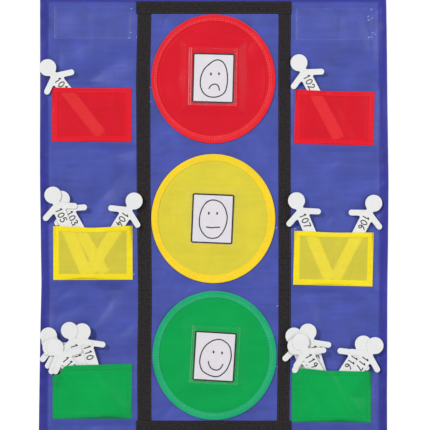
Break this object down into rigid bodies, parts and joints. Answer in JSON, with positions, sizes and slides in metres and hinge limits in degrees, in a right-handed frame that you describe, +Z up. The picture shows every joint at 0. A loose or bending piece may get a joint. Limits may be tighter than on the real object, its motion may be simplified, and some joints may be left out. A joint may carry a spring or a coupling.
{
  "type": "pocket chart",
  "caption": "Hanging fabric chart with stoplight discs in a webbing frame, clear windows for face cards, hemmed colour pockets and loose flat figures that lift out",
  "frame": {"origin": "centre of the middle eyelet's hole in the top hem, in the plane of the panel's front face", "axes": "+Z up the chart's height, X across it, and the chart faces -Y"},
  "size_m": [0.6109, 0.0165, 0.8063],
  "materials": {
    "blue_nylon": "plain woven nylon",
    "black_webbing": "ribbed webbing",
    "red_nylon": "thin coated nylon",
    "yellow_nylon": "thin coated nylon",
    "green_nylon": "thin coated nylon",
    "red_binding": "sewn bias tape",
    "yellow_binding": "sewn bias tape",
    "green_binding": "sewn bias tape",
    "clear_vinyl": "clear soft vinyl",
    "white_card": "smooth white card",
    "white_figure": "coated white card",
    "brass": "polished",
    "nickel": "plated"
  },
  "bodies": {
    "chart": {"chart_panel": "blue_nylon", "eyelet_left": "brass", "eyelet_middle": "brass", "eyelet_right": "brass", "eyelet_washer_left": "nickel", "eyelet_washer_middle": "nickel", "eyelet_washer_right": "nickel", "frame_tape_left": "black_webbing", "frame_tape_right": "black_webbing", "frame_tape_top": "black_webbing", "frame_tape_bottom": "black_webbing", "disc_red": "red_nylon", "disc_yellow": "yellow_nylon", "disc_green": "green_nylon", "disc_binding_red": "red_binding", "disc_binding_yellow": "yellow_binding", "disc_binding_green": "green_binding", "card_window_red": "clear_vinyl", "card_window_yellow": "clear_vinyl", "card_window_green": "clear_vinyl", "label_window_left": "clear_vinyl", "label_window_right": "clear_vinyl", "pocket_left_red": "red_nylon", "pocket_right_red": "red_nylon", "pocket_left_yellow": "yellow_nylon", "pocket_right_yellow": "yellow_nylon", "pocket_left_green": "green_nylon", "pocket_right_green": "green_nylon"},
    "face_card_red": {"face_card_red": "white_card"},
    "face_card_yellow": {"face_card_yellow": "white_card"},
    "face_card_green": {"face_card_green": "white_card"},
    "figure_left_red": {"figure_left_red": "white_figure"},
    "figure_right_red": {"figure_right_red": "white_figure"},
    "figure_left_yellow_1": {"figure_left_yellow_1": "white_figure"},
    "figure_left_yellow_2": {"figure_left_yellow_2": "white_figure"},
    "figure_left_yellow_3": {"figure_left_yellow_3": "white_figure"},
    "figure_right_yellow_1": {"figure_right_yellow_1": "white_figure"},
    "figure_right_yellow_2": {"figure_right_yellow_2": "white_figure"},
    "figure_left_green_1": {"figure_left_green_1": "white_figure"},
    "figure_left_green_2": {"figure_left_green_2": "white_figure"},
    "figure_left_green_3": {"figure_left_green_3": "white_figure"},
    "figure_left_green_4": {"figure_left_green_4": "white_figure"},
    "figure_left_green_5": {"figure_left_green_5": "white_figure"},
    "figure_left_green_6": {"figure_left_green_6": "white_figure"},
    "figure_right_green_1": {"figure_right_green_1": "white_figure"},
    "figure_right_green_2": {"figure_right_green_2": "white_figure"},
    "figure_right_green_3": {"figure_right_green_3": "white_figure"},
    "figure_right_green_4": {"figure_right_green_4": "white_figure"},
    "figure_right_green_5": {"figure_right_green_5": "white_figure"},
    "figure_right_green_6": {"figure_right_green_6": "white_figure"}
  },
  "joints": [
    {"name": "face_card_red_lift", "type": "slide", "parent": "chart", "child": "face_card_red", "axis": [0.0175, -0.0105, 0.9998], "range_m": [0, 0.1]},
    {"name": "face_card_yellow_lift", "type": "slide", "parent": "chart", "child": "face_card_yellow", "axis": [0.0436, -0.0105, 0.999], "range_m": [0, 0.1]},
    {"name": "face_card_green_lift", "type": "slide", "parent": "chart", "child": "face_card_green", "axis": [0.0523, -0.0105, 0.9986], "range_m": [0, 0.1]},
    {"name": "figure_left_red_lift", "type": "slide", "parent": "chart", "child": "figure_left_red", "axis": [0, -0.0384, 0.9993], "range_m": [0, 0.095]},
    {"name": "figure_right_red_lift", "type": "slide", "parent": "chart", "child": "figure_right_red", "axis": [0, -0.0384, 0.9993], "range_m": [0, 0.095]},
    {"name": "figure_left_yellow_1_lift", "type": "slide", "parent": "chart", "child": "figure_left_yellow_1", "axis": [0, -0.0384, 0.9993], "range_m": [0, 0.095]},
    {"name": "figure_left_yellow_2_lift", "type": "slide", "parent": "chart", "child": "figure_left_yellow_2", "axis": [0, -0.0384, 0.9993], "range_m": [0, 0.095]},
    {"name": "figure_left_yellow_3_lift", "type": "slide", "parent": "chart", "child": "figure_left_yellow_3", "axis": [0, -0.0384, 0.9993], "range_m": [0, 0.095]},
    {"name": "figure_right_yellow_1_lift", "type": "slide", "parent": "chart", "child": "figure_right_yellow_1", "axis": [0, -0.0384, 0.9993], "range_m": [0, 0.095]},
    {"name": "figure_right_yellow_2_lift", "type": "slide", "parent": "chart", "child": "figure_right_yellow_2", "axis": [0, -0.0384, 0.9993], "range_m": [0, 0.095]},
    {"name": "figure_left_green_1_lift", "type": "slide", "parent": "chart", "child": "figure_left_green_1", "axis": [0, -0.0384, 0.9993], "range_m": [0, 0.095]},
    {"name": "figure_left_green_2_lift", "type": "slide", "parent": "chart", "child": "figure_left_green_2", "axis": [0, -0.0384, 0.9993], "range_m": [0, 0.095]},
    {"name": "figure_left_green_3_lift", "type": "slide", "parent": "chart", "child": "figure_left_green_3", "axis": [0, -0.0384, 0.9993], "range_m": [0, 0.095]},
    {"name": "figure_left_green_4_lift", "type": "slide", "parent": "chart", "child": "figure_left_green_4", "axis": [0, -0.0384, 0.9993], "range_m": [0, 0.095]},
    {"name": "figure_left_green_5_lift", "type": "slide", "parent": "chart", "child": "figure_left_green_5", "axis": [0, -0.0384, 0.9993], "range_m": [0, 0.095]},
    {"name": "figure_left_green_6_lift", "type": "slide", "parent": "chart", "child": "figure_left_green_6", "axis": [0, -0.0384, 0.9993], "range_m": [0, 0.095]},
    {"name": "figure_right_green_1_lift", "type": "slide", "parent": "chart", "child": "figure_right_green_1", "axis": [0, -0.0384, 0.9993], "range_m": [0, 0.095]},
    {"name": "figure_right_green_2_lift", "type": "slide", "parent": "chart", "child": "figure_right_green_2", "axis": [0, -0.0384, 0.9993], "range_m": [0, 0.095]},
    {"name": "figure_right_green_3_lift", "type": "slide", "parent": "chart", "child": "figure_right_green_3", "axis": [0, -0.0384, 0.9993], "range_m": [0, 0.095]},
    {"name": "figure_right_green_4_lift", "type": "slide", "parent": "chart", "child": "figure_right_green_4", "axis": [0, -0.0384, 0.9993], "range_m": [0, 0.095]},
    {"name": "figure_right_green_5_lift", "type": "slide", "parent": "chart", "child": "figure_right_green_5", "axis": [0, -0.0384, 0.9993], "range_m": [0, 0.095]},
    {"name": "figure_right_green_6_lift", "type": "slide", "parent": "chart", "child": "figure_right_green_6", "axis": [0, -0.0384, 0.9993], "range_m": [0, 0.095]}
  ]
}
